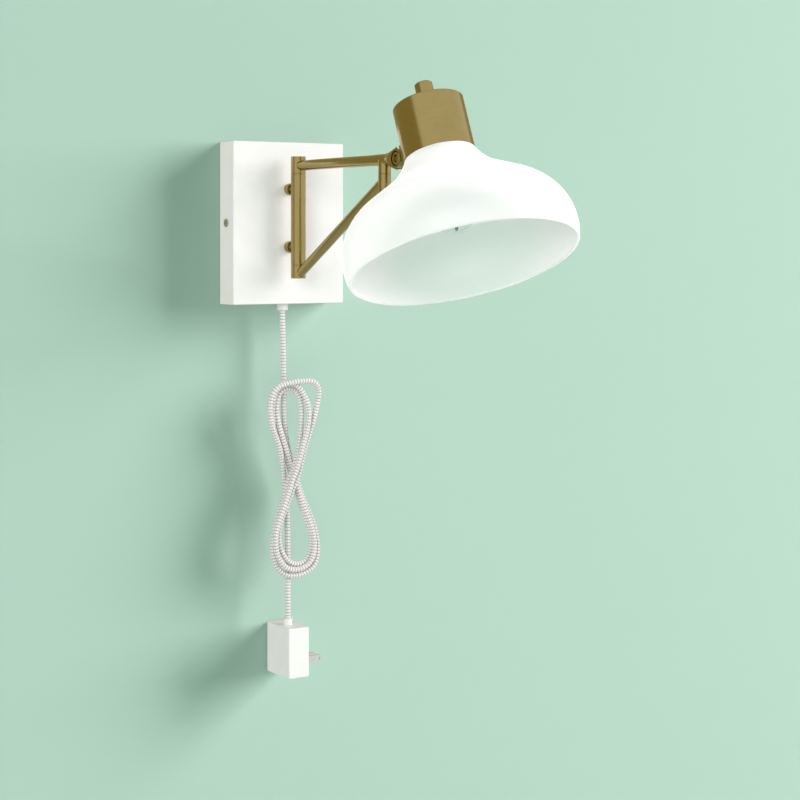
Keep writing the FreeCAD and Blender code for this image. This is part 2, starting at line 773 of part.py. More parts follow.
def bulb_outline(inset):
    """Outline of the bulb's glass, drawn in from its outer face by an inset."""
    centre_z = -bulb_reach + bulb_radius
    ball = bulb_radius - inset
    neck = V(bulb_neck_radius - inset, 0, bulb_cap_bottom)
    drop = neck.z - centre_z
    spread = math.acos(ball / math.hypot(neck.x, drop))
    tangent = math.atan2(drop, neck.x) - spread
    touch = V(ball * math.cos(tangent), 0, centre_z + ball * math.sin(tangent))
    middle_angle = (tangent - math.pi / 2) / 2
    middle = V(ball * math.cos(middle_angle), 0, centre_z + ball * math.sin(middle_angle))
    tip = V(0, 0, centre_z - ball)
    top = V(0, 0, bulb_cap_bottom)
    return [
        Part.LineSegment(top, neck).toShape(),
        Part.LineSegment(neck, touch).toShape(),
        Part.Arc(touch, middle, tip).toShape(),
        Part.LineSegment(tip, top).toShape(),
    ]


def make_bulb_glass():
    return revolved(bulb_outline(0)).cut(revolved(bulb_outline(bulb_glass_wall)))


def make_bulb_cap():
    shoulder_z = bulb_cap_top - bulb_tip_radius
    profile = [
        V(0, 0, bulb_cap_bottom),
        V(bulb_cap_radius, 0, bulb_cap_bottom),
        V(bulb_cap_radius, 0, shoulder_z),
        V(bulb_tip_radius, 0, bulb_cap_top - bulb_tip_radius / 4),
        V(bulb_tip_radius, 0, bulb_cap_top),
        V(0, 0, bulb_cap_top),
        V(0, 0, bulb_cap_bottom),
    ]
    return revolved(polygon_edges(profile))


stem_end = bulb_cap_bottom - bulb_stem_length


def make_bulb_stem():
    return cylinder(bulb_stem_radius, V(0, 0, stem_end), AXIS_Z, bulb_stem_length)


def make_bulb_filament():
    hub_z = -bulb_reach + bulb_glass_wall + clear_gap
    hub = cylinder(2 * filament_radius, V(0, 0, hub_z), AXIS_Z, stem_end - hub_z)
    low_ring = hub_z + bulb_radius / 2
    rods = []
    for i in range(filament_count):
        angle = 2 * math.pi * i / filament_count
        outward = V(math.cos(angle), math.sin(angle), 0)
        high = outward * filament_radius + V(0, 0, stem_end - filament_radius)
        bend = outward * filament_spread + V(0, 0, (stem_end + low_ring) / 2)
        low = outward * filament_radius + V(0, 0, low_ring)
        rods.append(cylinder(filament_radius, high, bend - high, (bend - high).Length))
        rods.append(cylinder(filament_radius, bend, low - bend, (low - bend).Length))
        rods.append(Part.makeSphere(filament_radius, bend))
    return hub.fuse(rods)


switch_ceiling = cup_height - cup_top


def make_rotary_switch():
    body = cylinder(switch_radius, V(0, 0, holder_top), AXIS_Z, switch_ceiling - holder_top)
    bushing = cylinder(bushing_radius, V(0, 0, switch_ceiling), AXIS_Z, cup_top + bushing_length)
    cavity = cylinder(switch_radius - switch_wall, V(0, 0, holder_top), AXIS_Z, switch_ceiling - holder_top - switch_wall)
    bore = cylinder(shaft_radius + running_gap, V(0, 0, holder_top), AXIS_Z, cup_height)
    return body.fuse(bushing).cut([cavity, bore]).removeSplitter()


def make_switch_nut():
    nut = hexagon(bushing_nut_hex, V(0, 0, cup_height), AXIS_Z, bushing_nut_height)
    return nut.cut(cylinder(bushing_radius + fit_gap, V(0, 0, cup_height), AXIS_Z, bushing_nut_height))


knob_base = cup_height + knob_lift
knob_cavity_height = bushing_length + clear_gap - knob_lift


def make_knob():
    body = cylinder(knob_radius, V(0, 0, knob_base), AXIS_Z, knob_height)
    body = body.makeChamfer(knob_chamfer, circles_at(body, knob_radius, knob_base + knob_height))
    cavity = cylinder(knob_radius - knob_wall, V(0, 0, knob_base), AXIS_Z, knob_cavity_height)
    bore = cylinder(shaft_radius + fit_gap, V(0, 0, knob_base), AXIS_Z, knob_cavity_height + knob_shaft_grip)
    return body.cut([cavity, bore])


def make_shaft():
    top = knob_base + knob_cavity_height + knob_shaft_grip
    bottom = switch_ceiling - shaft_depth
    return cylinder(shaft_radius, V(0, 0, bottom), AXIS_Z, top - bottom)


# ---------------------------------------------------------------- wiring inside the lamp
def make_wire_connectors():
    shells = []
    for side in (-1, 1):
        base = V(side * connector_x, cord_y, connector_base_z)
        shell = Part.makeCone(connector_radius, connector_tip_radius, connector_length, base, AXIS_Z)
        shells.append(shell.cut(cylinder(connector_bore_radius, base, AXIS_Z, connector_bore_depth)))
    return Part.makeCompound(shells)


connector_seat_z = connector_base_z + connector_bore_depth - clear_gap
strand_offset = connector_bore_radius - wire_radius - clear_gap / 2


def make_supply_wires():
    strands = []
    for side in (-1, 1):
        near = side * wire_pitch / 2
        inner = side * (connector_x - strand_offset)
        points = [
            V(near, cord_y, gland_face_z),
            V(near, cord_y, connector_base_z - 1.5 * wire_sweep),
            V(inner, cord_y, connector_base_z - wire_sweep / 2),
            V(inner, cord_y, connector_seat_z),
        ]
        strands.append(route_tube(points, wire_radius))
    return Part.makeCompound(strands)


def make_lamp_wires():
    strands = []
    feed_z = standoff_heights[0]
    for side in (-1, 1):
        near = side * wire_pitch / 2
        outer = side * (connector_x + strand_offset)
        far = side * (connector_x + 2 * connector_radius)
        points = [
            V(near, mast_y, mast_top_z),
            V(near, mast_y, feed_z),
            V(near, cord_y, feed_z),
            V(near + side * wire_sweep, cord_y, feed_z),
            V(far, cord_y, feed_z - 2 * wire_sweep),
            V(far, cord_y, connector_base_z - wire_sweep / 2),
            V((far + outer) / 2, cord_y, connector_base_z - wire_sweep),
            V(outer, cord_y, connector_base_z - wire_sweep / 2),
            V(outer, cord_y, connector_seat_z),
        ]
        strands.append(strand_with_elbow(points))
    return Part.makeCompound(strands)


def strand_with_elbow(points):
    """One conductor whose first turn, at the rod, is an elbow as wide as the rod's bore lets it be."""
    elbow = rod_bore_radius - wire_radius - wire_play
    first, corner, third = points[:3]
    into = (corner - first).normalize()
    out = (third - corner).normalize()
    start = corner - into * elbow
    end = corner + out * elbow
    knee = corner + (out - into) * (elbow * (1 - math.sqrt(0.5)))
    edges = [Part.LineSegment(first, start).toShape(), Part.Arc(start, knee, end).toShape()]
    rest, _ = route([end] + points[2:])
    path = Part.Wire(edges + rest.Edges)
    section = Part.Wire(Part.Circle(first, into, wire_radius).toShape())
    return path.makePipeShell([section], True, False)


def make_arm_wires():
    strands = []
    for side in (-1, 1):
        near = side * wire_pitch / 2
        points = [
            V(near, mast_y, mast_top_z + clear_gap),
            V(near, mast_y, arm_z),
            V(near, slot_bottom_y, arm_z),
        ]
        strands.append(strand_with_elbow(points))
    return Part.makeCompound(strands)


def make_head_wires():
    bore_z = pivot_height + tongue_bore_rise
    switch_z = (holder_top + switch_ceiling) / 2
    middle_y = (cup_radius + holder_radius) / 2
    points = [
        V(0, pivot_reach, bore_z),
        V(0, middle_y, bore_z),
        V(0, middle_y, switch_z),
        V(0, switch_radius, switch_z),
    ]
    return wire_pair(points, AXIS_X)


# ---------------------------------------------------------------- cord and plug
def make_cord_gland():
    flange = cylinder(gland_radius, V(0, cord_y, gland_face_z), AXIS_Z, gland_length)
    flange = flange.makeChamfer(gland_length * 0.1, circles_at(flange, gland_radius, gland_face_z))
    thread_length = gland_length + cover_wall + 2 * gland_nut_height
    thread = cylinder(gland_thread_radius, V(0, cord_y, gland_face_z), AXIS_Z, thread_length)
    return flange.fuse(thread).cut(cylinder(gland_bore_radius, V(0, cord_y, gland_face_z), AXIS_Z, thread_length))


def make_gland_nut():
    start = V(0, cord_y, -cover_height / 2 + cover_wall)
    nut = hexagon(gland_nut_hex, start, AXIS_Z, gland_nut_height)
    return nut.cut(cylinder(gland_thread_radius + fit_gap, start, AXIS_Z, gland_nut_height))


cord_upper_points = [
    V(0.0, cord_y, gland_face_z),
    V(0.0, cord_y, -130.0),
    V(0.4, -20.5, -171.0),
]

hank_outline = [
    (-2.5, -262.0), (-13.0, -239.0), (-20.5, -216.0), (-26.7, -194.0), (-21.5, -178.0),
    (-7.0, -167.5), (9.0, -164.0), (24.0, -161.0), (36.0, -165.5), (39.6, -180.0),
    (34.5, -200.0), (25.0, -236.0), (17.5, -263.0), (27.0, -290.0), (35.0, -311.0),
    (39.0, -334.0), (34.0, -352.0), (24.0, -361.0), (10.0, -365.5), (-8.0, -361.0),
    (-18.5, -349.0), (-22.2, -329.0), (-16.5, -306.0), (-8.0, -284.0),
]

hank_upper_hole = [
    (2.0, -173.5), (11.0, -181.0), (12.6, -199.0), (10.5, -221.0),
    (5.5, -243.0), (-4.0, -219.0), (-10.5, -197.0), (-7.0, -181.0),
]

hank_lower_hole = [
    (9.6, -277.0), (18.0, -300.0), (24.0, -324.0), (20.0, -339.0),
    (9.0, -346.0), (-3.0, -341.0), (-8.3, -325.0), (0.5, -300.0),
]


def make_cord_hank():
    def prism(outline):
        curve = Part.BSplineCurve()
        points = [V(x, hank_back_y, z) for x, z in outline]
        curve.interpolate(Points=points, PeriodicFlag=True)
        face = Part.Face(Part.Wire(curve.toShape()))
        return face.extrude(V(0, -hank_thickness, 0))

    return prism(hank_outline).cut([prism(hank_upper_hole), prism(hank_lower_hole)])


def make_cord_lower():
    top = V(plug_centre_x, plug_centre_y, -362.0)
    bottom = V(plug_centre_x, plug_centre_y, plug_top_z + relief_height)
    return cylinder(cord_radius, top, bottom - top, (bottom - top).Length)


def blade_positions():
    return [blade_front_y, blade_front_y + blade_spacing]


plug_face_x = plug_centre_x + plug_width / 2
blade_z = plug_top_z - blade_drop


def blade_box(y, gap, length):
    half_t = blade_thickness / 2 + gap
    half_h = blade_height / 2 + gap
    low = V(plug_face_x - blade_root - gap, y - half_t, blade_z - half_h)
    return block(low, V(plug_face_x + length, y + half_t, blade_z + half_h))


def make_plug_body():
    half_w = plug_width / 2
    low = V(plug_centre_x - half_w, -plug_depth, plug_top_z - plug_height)
    body = block(low, V(plug_centre_x + half_w, 0, plug_top_z))
    body = rounded(body, body.Edges, plug_edge_radius)
    return body.cut([blade_box(y, fit_gap, 1) for y in blade_positions()])


def make_plug_blades():
    blades = []
    for y in blade_positions():
        blade = blade_box(y, 0, blade_length)
        tip_x = plug_face_x + blade_length
        tip = [edge for edge in edges_along(blade, AXIS_Y) if abs(edge.BoundBox.XMin - tip_x) < 0.01]
        blade = rounded(blade, tip, blade_height * 0.45)
        hole = V(tip_x - blade_height * 0.55, y - blade_thickness, blade_z)
        blades.append(blade.cut(cylinder(blade_hole_radius, hole, AXIS_Y, 2 * blade_thickness)))
    return Part.makeCompound(blades)


def make_plug_relief():
    base = V(plug_centre_x, plug_centre_y, plug_top_z)
    return Part.makeCone(relief_radius, relief_tip_radius, relief_height, base, AXIS_Z)


# ---------------------------------------------------------------- all nodes
def build_all():
    save("cover", make_cover())
    save("mounting_bracket", make_bracket())
    save("side_screws", make_side_screws())
    save("ground_screw", make_ground_screw())
    for name, z in zip(("standoff_upper", "standoff_lower"), standoff_heights):
        save(name, make_standoff(z))
    save("standoff_washers", make_standoff_washers())
    save("standoff_nuts", make_standoff_nuts())
    save("mast_tube", make_mast())
    save("mast_rod", make_mast_rod())
    save("seam_washers", make_seam_washers())
    save("wire_connectors", make_wire_connectors())
    save("supply_wires", make_supply_wires())
    save("lamp_wires", make_lamp_wires())

    save("upper_collar", make_upper_collar())
    save("lower_collar", make_lower_collar())
    save("arm_tube", make_arm_tube())
    save("outer_tee", make_outer_tee())
    save("brace_tube", make_brace_tube())
    save("brace_post", make_brace_post())
    save("post_stud", make_post_stud())
    save("arm_wires", make_arm_wires())
    save("knuckle_yoke", make_yoke())
    save("tilt_screw", make_tilt_screw())
    save("tilt_nut", make_tilt_nut())
    save("friction_washers", make_friction_washers())

    save("tilt_lug", in_head(make_tilt_lug()))
    save("lug_screws", in_head(make_lug_screws()))
    save("socket_cup", in_head(make_cup()))
    save("lampholder", in_head(make_lampholder()))
    save("screw_shell", in_head(make_screw_shell()))
    save("centre_contact", in_head(make_centre_contact()))
    save("shade", in_head(make_shade()))
    save("shade_ring", in_head(make_shade_ring()))
    save("bulb_glass", in_head(make_bulb_glass()))
    save("bulb_cap", in_head(make_bulb_cap()))
    save("bulb_stem", in_head(make_bulb_stem()))
    save("bulb_filament", in_head(make_bulb_filament()))
    save("rotary_switch", in_head(make_rotary_switch()))
    save("switch_nut", in_head(make_switch_nut()))
    save("head_wires", in_head(make_head_wires()))
    save("switch_knob", in_head(make_knob()))
    save("knob_shaft", in_head(make_shaft()))

    save("cord_gland", make_cord_gland())
    save("gland_nut", make_gland_nut())
    save("cord_upper", route_tube(cord_upper_points, cord_radius, "cord_upper"))
    save("cord_hank", make_cord_hank())
    save("cord_lower", make_cord_lower())
    save("plug_body", make_plug_body())
    save("plug_blades", make_plug_blades())
    save("plug_relief", make_plug_relief())


build_all()
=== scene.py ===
import math

import bpy
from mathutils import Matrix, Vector


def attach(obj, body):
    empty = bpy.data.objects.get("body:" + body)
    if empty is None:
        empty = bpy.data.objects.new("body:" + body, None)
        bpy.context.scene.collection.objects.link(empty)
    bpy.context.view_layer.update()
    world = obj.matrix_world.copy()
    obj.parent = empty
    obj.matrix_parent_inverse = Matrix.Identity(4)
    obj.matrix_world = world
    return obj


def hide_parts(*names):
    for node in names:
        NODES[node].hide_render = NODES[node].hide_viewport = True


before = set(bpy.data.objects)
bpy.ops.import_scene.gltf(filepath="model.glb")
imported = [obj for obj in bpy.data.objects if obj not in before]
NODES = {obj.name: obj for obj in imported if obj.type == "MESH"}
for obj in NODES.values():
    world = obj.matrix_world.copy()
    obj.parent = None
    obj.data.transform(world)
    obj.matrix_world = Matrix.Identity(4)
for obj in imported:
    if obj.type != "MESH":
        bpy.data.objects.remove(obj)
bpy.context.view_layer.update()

MM = 0.001


# ---------------------------------------------------------------- camera
CAMERA_AT = (-0.95457, -1.75249, -0.01908)
CAMERA_TURN = -32.2776  # degrees, from looking straight at the wall
CAMERA_LENS = 86.62
CAMERA_SENSOR = 36.0
CAMERA_SHIFT = -0.1978
CAMERA_REACH = 50.0


def make_camera():
    """A level camera with its picture shifted down, so that uprights stay parallel."""
    data = bpy.data.cameras.new("camera")
    data.lens = CAMERA_LENS
    data.sensor_width = CAMERA_SENSOR
    data.shift_y = CAMERA_SHIFT
    data.clip_end = CAMERA_REACH
    camera = bpy.data.objects.new("camera", data)
    camera.location = CAMERA_AT
    camera.rotation_euler = (math.radians(90), 0, math.radians(CAMERA_TURN))
    bpy.context.scene.collection.objects.link(camera)
    bpy.context.scene.camera = camera


make_camera()
bpy.context.scene.view_settings.view_transform = "Standard"


# ---------------------------------------------------------------- mesh helpers
def link(name, data, body):
    """Puts a piece into the scene and on its body."""
    obj = bpy.data.objects.new(name, data)
    bpy.context.scene.collection.objects.link(obj)
    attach(obj, body)
    return obj


def mesh_from(name, points, faces, uvs=()):
    """A smooth mesh. uvs has one pair for each corner of each face, in order."""
    mesh = bpy.data.meshes.new(name)
    mesh.from_pydata([tuple(p) for p in points], [], faces)
    if uvs:
        layer = mesh.uv_layers.new(name="uv")
        for loop, uv in zip(layer.data, uvs):
            loop.uv = uv
    mesh.shade_smooth()
    mesh.update()
    return mesh


def frames_along(path):
    """Side and up directions along a path, turned as little as possible from point to point."""
    last = len(path) - 1
    ahead = [
        (path[min(i + 1, last)] - path[max(i - 1, 0)]).normalized() for i in range(len(path))
    ]
    side = ahead[0].orthogonal().normalized()
    rows = []
    for i, forward in enumerate(ahead):
        if i:
            side = ahead[i - 1].rotation_difference(forward) @ side
            side = (side - forward * side.dot(forward)).normalized()
        rows.append((side, forward.cross(side)))
    return rows


# ---------------------------------------------------------------- the cord
CORD_DIAMETER = 0.0057
CORD_SMOOTHING = 12  # steps of the line from one control point to the next
CORD_RING_STEP = 0.00055
CORD_SIDES = 24
BRAID_PITCH = 0.0031
BRAID_STRANDS = 8
BRAID_DEPTH = 0.00035
BRAID_ROUNDING = 0.5  # power that gives round tops and narrow valleys
RELIEF_STITCH = 0.4  # share of the stitches in the relief; the rings have the rest
COLOUR_STITCH = 0.6  # share of the stitches in the colour's painted valley shade

# Control points in millimetres. The lead drops from the gland, then each turn goes round the
# lower lobe and the upper lobe of a loose figure of eight, and the tail drops into the plug.
CORD_LEAD = [
    (0, -14.7, -89.5), (0.2, -14.7, -103), (0.6, -14.7, -119), (1, -14.9, -137),
    (1.2, -15.1, -157), (1.4, -15.1, -177), (1.7, -14.9, -195), (2.7, -14.6, -210.1),
    (4.9, -14.2, -224.1), (8.6, -13.9, -238.2), (13, -13.8, -251.2),
]
CORD_TURNS = [
    [
        (18.2, -13.8, -267.1), (22, -14.9, -279.3), (25.8, -17.7, -291.2), (29.4, -20.8, -302),
        (32.6, -22.9, -312.2), (35.2, -23.8, -324.4), (36, -24.8, -335.5), (34.2, -25.7, -346.3),
        (29.5, -26.3, -354.5), (20.5, -26.5, -359.5), (9.1, -26.2, -361.6), (-2.2, -25.9, -360),
        (-10.7, -25.8, -353.7), (-15.5, -25.9, -344.6), (-17.6, -26, -333.5), (-17.3, -26.2, -321.7),
        (-14.6, -26.3, -309.1), (-10.4, -26.5, -297.1), (-5.9, -26.5, -286.1), (-2.3, -26.4, -274.5),
    ],
    [
        (0.9, -26.4, -262.5), (5.7, -26.4, -254.6), (9.3, -26.2, -245.7), (12, -25.9, -235.8),
        (14.2, -25.6, -224.9), (15.6, -25.4, -212.2), (16.7, -24.6, -199.4), (17.2, -23.3, -188.5),
        (16.3, -21.9, -178.5), (11.6, -20.8, -171.5), (3.5, -20.3, -168.4), (-4.7, -20, -171.8),
        (-8.9, -20, -179.4), (-10.1, -20.2, -190.3), (-8.8, -20.6, -201.2), (-5.7, -21, -212.3),
        (-2, -21.1, -222.6), (1.7, -21.1, -232.9), (5.7, -20.9, -242.3), (10.1, -20.9, -253.6),
    ],
    [
        (11.5, -20.7, -264.6), (15.4, -21.9, -276.7), (18.9, -24.4, -288.6), (22.3, -27.1, -299.6),
        (25.8, -28.7, -309.7), (28.9, -28.9, -321.4), (29.9, -29.2, -331.6), (28.6, -29.5, -341.6),
        (24.2, -29.7, -349.2), (16.5, -29.8, -353.7), (7.4, -29.8, -355.1), (-1.7, -30.1, -353.3),
        (-9.5, -30.5, -347), (-14.5, -31.1, -338.5), (-17.1, -31.5, -328.3), (-17, -31.6, -317.4),
        (-14.5, -31.7, -306.2), (-10.4, -31.8, -295.4), (-5.8, -31.8, -284.6), (-1.7, -31.8, -273.5),
    ],
    [
        (2.4, -31.7, -262.2), (6.4, -31.7, -253.6), (9.5, -31.6, -245.1), (12.5, -31.3, -236.2),
        (15.6, -31.1, -226.3), (18.8, -30.9, -216.5), (21.6, -30.5, -206.6), (23.2, -29.5, -197.5),
        (22.9, -28.1, -187.5), (19.5, -26.7, -177.4), (13.6, -25.6, -168), (5, -25, -164.3),
        (-3.3, -24, -165.2), (-10.4, -22.8, -169.5), (-14.4, -22, -177.2), (-15.7, -21.4, -189),
        (-14.1, -19.6, -201.1), (-10, -17.7, -212.4), (-5.1, -16.7, -222.8), (-0.3, -16.2, -233.2),
        (4.8, -15.4, -243.7), (8.9, -15.2, -255),
    ],
    [
        (11.7, -15.4, -263.8), (15.8, -16.5, -275.9), (19.2, -18.4, -287.9), (22.9, -20.2, -299.2),
        (26.5, -21.1, -309.6), (29.7, -21.4, -320.7), (30.2, -22.4, -329.8), (28.4, -23.7, -338.7),
        (23.5, -25, -345.4), (16.7, -25.8, -349.3), (9.8, -26, -350), (3.4, -26, -348.1),
        (-3.3, -25.9, -342), (-7.9, -25.8, -334.3), (-10.4, -25.6, -325), (-10.3, -25.4, -315.1),
        (-7.9, -25.3, -305.3), (-4, -25.4, -295.5), (0.6, -25.5, -284.8), (5.1, -25.8, -274.2),
    ],
    [
        (10, -26.1, -263.5), (13.7, -26.2, -254.2), (16.3, -26, -244.3), (18.9, -25.9, -234.3),
        (22.6, -25.8, -223.5), (27.2, -25.8, -211.8), (31.2, -26.4, -199.1), (34.2, -27.5, -186.2),
        (35.6, -28.9, -174.2), (32.7, -30, -165.6), (25.1, -30.5, -161.9), (15.2, -30.3, -161.6),
        (3.9, -29.9, -162.8), (-7.2, -29.2, -164.4), (-15.6, -28.6, -168.7), (-20.3, -28.3, -176.5),
        (-21.5, -27.5, -188.3), (-19.6, -25.9, -201.2), (-15.2, -24.1, -212.5), (-10.2, -22.5, -222),
        (-6.5, -21.7, -231.4),
    ],
]
CORD_TAIL = [
    (-3.9, -19.8, -240), (-1.8, -18.7, -250.3), (0.1, -18.3, -262.4), (1.6, -18.2, -274.4),
    (2.8, -18.4, -287.3), (3.3, -18.9, -301.9), (3.4, -19.5, -318.4), (3.3, -20, -334.8),
    (3.3, -20.4, -351.3), (3.5, -20.6, -364.1), (2.6, -21.6, -379), (1.7, -23.5, -404.5),
]


def spline_line(name, controls):
    """The smooth line through a spline's control points, read back from a curve with no bevel."""
    curve = bpy.data.curves.new(name, "CURVE")
    curve.dimensions = "3D"
    spline = curve.splines.new("NURBS")
    spline.points.add(len(controls) - 1)
    for point, at in zip(spline.points, controls):
        point.co = (*at, 1.0)
    spline.order_u = 3
    spline.use_endpoint_u = True
    spline.resolution_u = CORD_SMOOTHING
    holder = bpy.data.objects.new(name, curve)
    bpy.context.scene.collection.objects.link(holder)
    bpy.context.view_layer.update()
    mesh = bpy.data.meshes.new_from_object(holder)
    line = [v.co.copy() for v in mesh.vertices]
    bpy.data.meshes.remove(mesh)
    bpy.data.objects.remove(holder)
    bpy.data.curves.remove(curve)
    return line


def even_line(line, step):
    """The same line with points an even step apart."""
    points = [line[0]]
    run = 0.0
    for a, b in zip(line, line[1:]):
        length = (b - a).length
        while run + length >= step:
            a = a.lerp(b, (step - run) / length)
            points.append(a)
            length = (b - a).length
            run = 0.0
        run += length
    points.append(line[-1])
    return points


def braid_relief(along, around):
    """Height of the sleeve from 0 to 1, for a place along the cord and an angle round it."""
    ring = abs(math.sin(math.pi * along / BRAID_PITCH)) ** BRAID_ROUNDING
    stitch = abs(math.cos(BRAID_STRANDS * around / 2)) ** BRAID_ROUNDING
    return ring * (1 - RELIEF_STITCH + RELIEF_STITCH * stitch)


def make_cord():
    """The braided cord: a closed tube of rings, with its uv in turns and metres."""
    controls = CORD_LEAD + [point for half in CORD_TURNS for point in half] + CORD_TAIL
    line = spline_line("cord_line", [Vector(point) * MM for point in controls])
    path = even_line(line, CORD_RING_STEP)
    points, faces, uvs = [], [], []
    sides = CORD_SIDES
    for i, (at, (side, up)) in enumerate(zip(path, frames_along(path))):
        for j in range(sides):
            angle = 2 * math.pi * j / sides
            relief = braid_relief(i * CORD_RING_STEP, angle)
            radius = CORD_DIAMETER / 2 - BRAID_DEPTH * (1 - relief)
            points.append(at + (side * math.cos(angle) + up * math.sin(angle)) * radius)
    for i in range(len(path) - 1):
        here, there = i * sides, (i + 1) * sides
        low, high = i * CORD_RING_STEP, (i + 1) * CORD_RING_STEP
        for j in range(sides):
            k = (j + 1) % sides
            faces.append((here + j, here + k, there + k, there + j))
            a, b = j / sides, (j + 1) / sides
            uvs += [(a, low), (b, low), (b, high), (a, high)]
    last = (len(path) - 1) * sides
    faces.append(tuple(range(sides - 1, -1, -1)))
    faces.append(tuple(range(last, last + sides)))
    uvs += [(0.5, 0.0)] * (2 * sides)
    mesh = mesh_from("cord_braided", points, faces, uvs)
    cord = link("cord_braided", mesh, "wall_unit")
    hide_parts("cord_upper", "cord_hank", "cord_lower")
    return cord


cord = make_cord()


# ---------------------------------------------------------------- materials
NOISE_LOW, NOISE_HIGH = 0.3, 0.7  # most of a noise texture's values lie between these
NOISE_ROUGHNESS = 0.55
SKIN_DEPTH = 0.00001  # relief of a smooth surface, in metres

# BRASS_PAINTED_SHADE is painted shade: the dark brown that brass turns to in creases and near other
# parts.
BRASS_LIGHT, BRASS_DARK, BRASS_PAINTED_SHADE = (169, 152, 101), (156, 138, 86), (58, 38, 12)
PAINTED_SHADE_REACH = 0.0035  # how far from another surface the painted shade on brass reaches
PAINTED_SHADE_SAMPLES = 8
# CORD_VALLEY_SHADE is painted shade for the braid's valleys, the low end of the weave colour.
CORD_LIGHT, CORD_MIDDLE, CORD_VALLEY_SHADE = (244, 242, 238), (222, 218, 216), (170, 162, 164)
WHITE, OFF_WHITE = (244, 244, 241), (239, 239, 236)


def linear(colour):
    """A display (sRGB) colour from 0 to 255 as the linear colour that shaders use."""
    parts = [value / 255 for value in colour]
    return (*(v / 12.92 if v <= 0.04045 else ((v + 0.055) / 1.055) ** 2.4 for v in parts), 1.0)


class Graph:
    """A node tree that nodes are added to and joined in."""

    def __init__(self, tree):
        self.tree = tree

    def node(self, kind, **values):
        made = self.tree.nodes.new(kind)
        for key, value in values.items():
            setattr(made, key, value)
        return made

    def join(self, source, target):
        self.tree.links.new(source, target)

    def compute(self, operation, *values):
        """A maths node of other nodes' outputs and plain numbers."""
        made = self.node("ShaderNodeMath", operation=operation)
        for value, socket in zip(values, made.inputs):
            if isinstance(value, bpy.types.NodeSocket):
                self.join(value, socket)
            else:
                socket.default_value = value
        return made.outputs["Value"]

    def span(self, source, low, high, start=NOISE_LOW, end=NOISE_HIGH):
        """A source that runs from start to end, mapped to run from low to high."""
        made = self.node("ShaderNodeMapRange")
        made.inputs["From Min"].default_value = start
        made.inputs["From Max"].default_value = end
        made.inputs["To Min"].default_value = low
        made.inputs["To Max"].default_value = high
        self.join(source, made.inputs["Value"])
        return made.outputs["Result"]


class Shader(Graph):
    """A node material with a principled surface and procedural detail in the part's own metres."""

    def __init__(self, name, **sockets):
        self.material = bpy.data.materials.new(name)
        self.material.use_nodes = True
        super().__init__(self.material.node_tree)
        self.surface = self.tree.nodes["Principled BSDF"]
        for key, value in sockets.items():
            self.surface.inputs[key.replace("_", " ")].default_value = value
        self.place = self.node("ShaderNodeTexCoord").outputs["Object"]

    def stretched(self, scale, turn):
        """The place turned by degrees and scaled along each axis."""
        mapping = self.node("ShaderNodeMapping")
        mapping.inputs["Rotation"].default_value = [math.radians(a) for a in turn]
        mapping.inputs["Scale"].default_value = scale
        self.join(self.place, mapping.inputs["Vector"])
        return mapping.outputs["Vector"]

    def noise(self, scale, detail=3.0, place=None):
        made = self.node("ShaderNodeTexNoise")
        made.inputs["Scale"].default_value = scale
        made.inputs["Detail"].default_value = detail
        made.inputs["Roughness"].default_value = NOISE_ROUGHNESS
        self.join(place or self.place, made.inputs["Vector"])
        return made.outputs["Fac"]

    def colours(self, source, *stops):
        """Paints the surface from a ramp of (place, display colour) stops."""
        ramp = self.node("ShaderNodeValToRGB")
        for _ in stops[2:]:
            ramp.color_ramp.elements.new(0.5)
        for element, (place, colour) in zip(ramp.color_ramp.elements, stops):
            element.position = place
            element.color = linear(colour)
        self.join(source, ramp.inputs["Fac"])
        self.join(ramp.outputs["Color"], self.surface.inputs["Base Color"])

    def mottle(self, source, dark, light):
        """Paints the surface with two close colours."""
        self.colours(source, (NOISE_LOW, dark), (NOISE_HIGH, light))

    def rough(self, source, low, high):
        self.join(self.span(source, low, high), self.surface.inputs["Roughness"])

    def bump(self, source, depth=SKIN_DEPTH, strength=1.0):
        made = self.node("ShaderNodeBump")
        made.inputs["Distance"].default_value = depth
        made.inputs["Strength"].default_value = strength
        self.join(source, made.inputs["Height"])
        self.join(made.outputs["Normal"], self.surface.inputs["Normal"])


def brass(name, grain, turn=(0, 0, 0)):
    """Brushed brass, with painted shade from ambient occlusion darkening it in creases and near
    other parts. grain is the noise scale along each axis, low along the brushing, and turn is the
    brushing's turn in degrees."""
    s = Shader(name, Metallic=1.0)
    hair = s.noise(scale=1.0, detail=2.0, place=s.stretched(grain, turn))
    cloud = s.noise(scale=60.0)
    mix = s.node("ShaderNodeMix", data_type="FLOAT")
    mix.inputs["Factor"].default_value = 0.3
    s.join(hair, mix.inputs["A"])
    s.join(cloud, mix.inputs["B"])
    surface = mix.outputs["Result"]
    # Painted shade: ambient occlusion darkens the brass colour in creases and where parts meet.
    painted_shade_occlusion = s.node("ShaderNodeAmbientOcclusion", samples=PAINTED_SHADE_SAMPLES)
    painted_shade_occlusion.inputs["Distance"].default_value = PAINTED_SHADE_REACH
    unshaded_share = s.span(painted_shade_occlusion.outputs["AO"], low=0.0, high=1.0, start=0.15, end=0.6)
    grain_with_painted_shade = s.compute("MULTIPLY", surface, unshaded_share)
    s.colours(grain_with_painted_shade, (0.0, BRASS_PAINTED_SHADE), (0.35, BRASS_DARK), (0.7, BRASS_LIGHT))
    s.rough(surface, low=0.13, high=0.19)
    s.bump(hair, strength=0.4)
    return s.material


def moulded(name, light, dark, rough=(0.3, 0.42)):
    """Paint or plastic with a faint orange peel and an uneven gloss."""
    s = Shader(name)
    s.mottle(s.noise(scale=35.0, detail=4.0), dark, light)
    s.rough(s.noise(scale=120.0), *rough)
    s.bump(s.noise(scale=900.0, detail=2.0))
    return s.material


